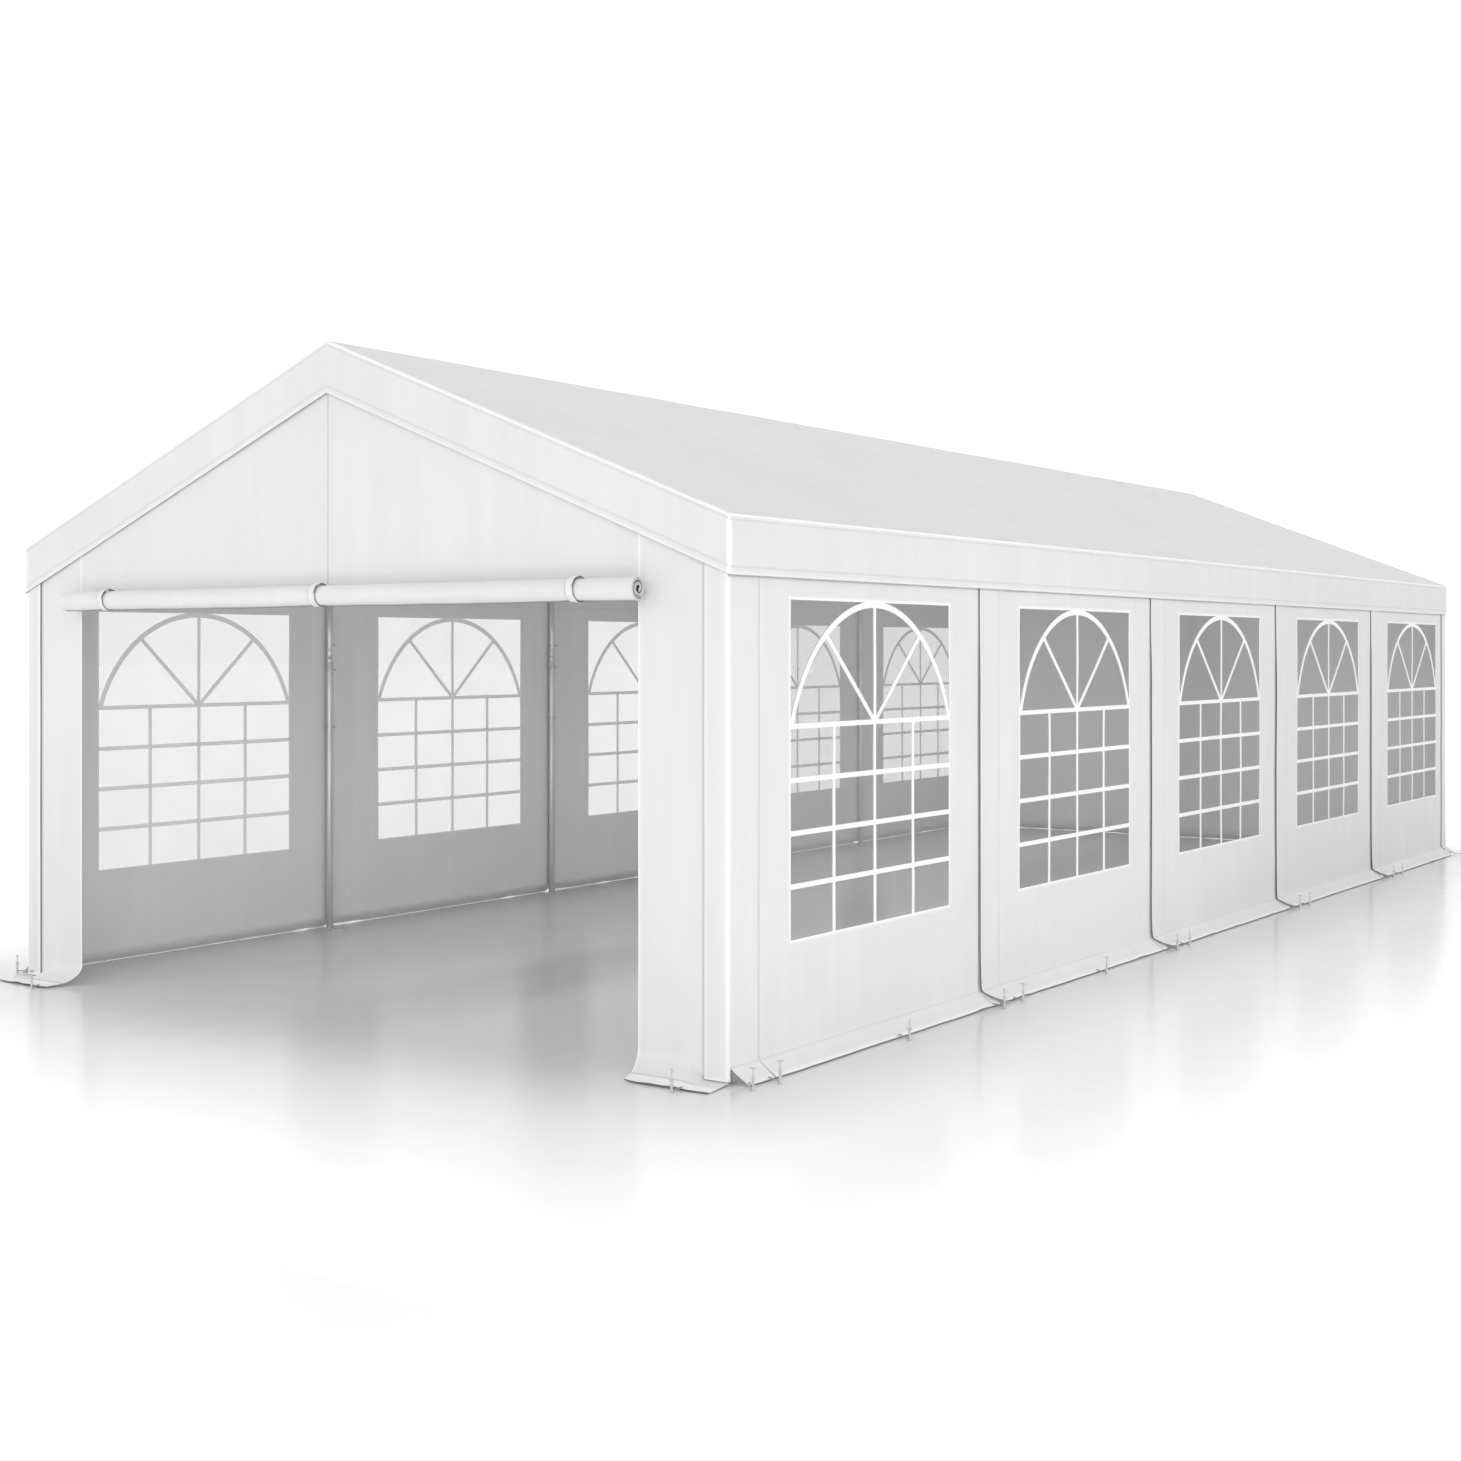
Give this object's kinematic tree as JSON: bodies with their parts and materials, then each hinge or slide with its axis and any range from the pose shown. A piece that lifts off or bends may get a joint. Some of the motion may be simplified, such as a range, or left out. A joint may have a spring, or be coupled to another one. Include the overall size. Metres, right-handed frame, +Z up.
{
  "type": "marquee tent",
  "caption": "Gable-roofed marquee tent of white sheeting on a steel tube frame, with arched windows along both sides and a rolled-up end door.",
  "frame": {"origin": "middle of the footprint, on the ground", "axes": "+X towards the right side, +Y along the tent from the open gable to the back, +Z up"},
  "size_m": [4.1652, 10.34, 2.8538],
  "materials": {
    "galvanised_steel": "satin",
    "white_tarpaulin": "satin",
    "clear_film": "gloss",
    "white_webbing": "matte"
  },
  "bodies": {
    "root": {"post_left_1": "galvanised_steel", "post_left_2": "galvanised_steel", "post_left_3": "galvanised_steel", "post_left_4": "galvanised_steel", "post_left_5": "galvanised_steel", "post_left_6": "galvanised_steel", "post_right_1": "galvanised_steel", "post_right_2": "galvanised_steel", "post_right_3": "galvanised_steel", "post_right_4": "galvanised_steel", "post_right_5": "galvanised_steel", "post_right_6": "galvanised_steel", "rafter_left_1": "galvanised_steel", "rafter_left_2": "galvanised_steel", "rafter_left_3": "galvanised_steel", "rafter_left_4": "galvanised_steel", "rafter_left_5": "galvanised_steel", "rafter_left_6": "galvanised_steel", "rafter_right_1": "galvanised_steel", "rafter_right_2": "galvanised_steel", "rafter_right_3": "galvanised_steel", "rafter_right_4": "galvanised_steel", "rafter_right_5": "galvanised_steel", "rafter_right_6": "galvanised_steel", "eave_beam_left": "galvanised_steel", "eave_beam_right": "galvanised_steel", "ridge_beam": "galvanised_steel", "roof_cover": "white_tarpaulin", "side_panel_left_1": "white_tarpaulin", "side_panel_left_2": "white_tarpaulin", "side_panel_left_3": "white_tarpaulin", "side_panel_left_4": "white_tarpaulin", "side_panel_left_5": "white_tarpaulin", "side_panel_right_1": "white_tarpaulin", "side_panel_right_2": "white_tarpaulin", "side_panel_right_3": "white_tarpaulin", "side_panel_right_4": "white_tarpaulin", "side_panel_right_5": "white_tarpaulin", "window_film_left_1": "clear_film", "window_film_left_2": "clear_film", "window_film_left_3": "clear_film", "window_film_left_4": "clear_film", "window_film_left_5": "clear_film", "window_film_right_1": "clear_film", "window_film_right_2": "clear_film", "window_film_right_3": "clear_film", "window_film_right_4": "clear_film", "window_film_right_5": "clear_film", "front_gable": "white_tarpaulin", "front_wall_left": "white_tarpaulin", "front_wall_right": "white_tarpaulin", "rear_gable": "white_tarpaulin", "rear_wall_left": "white_tarpaulin", "rear_wall_right": "white_tarpaulin", "rear_door": "white_tarpaulin", "front_door_roll": "white_tarpaulin", "roll_strap_1": "white_webbing", "roll_strap_2": "white_webbing", "roll_strap_3": "white_webbing"}
  },
  "joints": []
}
